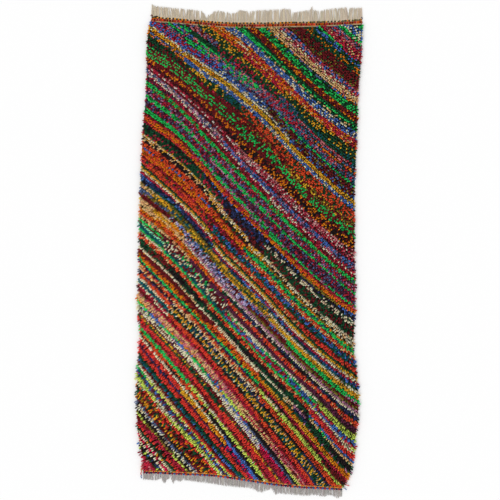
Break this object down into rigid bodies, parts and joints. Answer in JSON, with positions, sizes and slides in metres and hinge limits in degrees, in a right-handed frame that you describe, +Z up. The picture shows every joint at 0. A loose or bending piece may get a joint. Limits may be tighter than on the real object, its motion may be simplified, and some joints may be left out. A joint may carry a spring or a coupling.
{
  "type": "rug",
  "caption": "Long hand-knotted wool pile rug with uneven diagonal multicolour stripes, twined coloured courses across both ends and cut warp fringes, lying flat",
  "frame": {"origin": "middle of the pile field's underside, at floor level", "axes": "X across the rug, +Y along it to the head end with the longer fringe, +Z up through the pile"},
  "size_m": [1.0585, 2.2858, 0.0208],
  "materials": {
    "pile_field": "wool pile",
    "head_inner_course": "wool yarn",
    "head_outer_course": "wool yarn",
    "head_fringe": "wool yarn",
    "foot_inner_course": "wool yarn",
    "foot_outer_course": "wool yarn",
    "foot_fringe": "wool yarn"
  },
  "bodies": {
    "root": {"pile_field": "pile_field", "head_inner_course": "head_inner_course", "head_outer_course": "head_outer_course", "head_fringe": "head_fringe", "foot_inner_course": "foot_inner_course", "foot_outer_course": "foot_outer_course", "foot_fringe": "foot_fringe"}
  },
  "joints": []
}
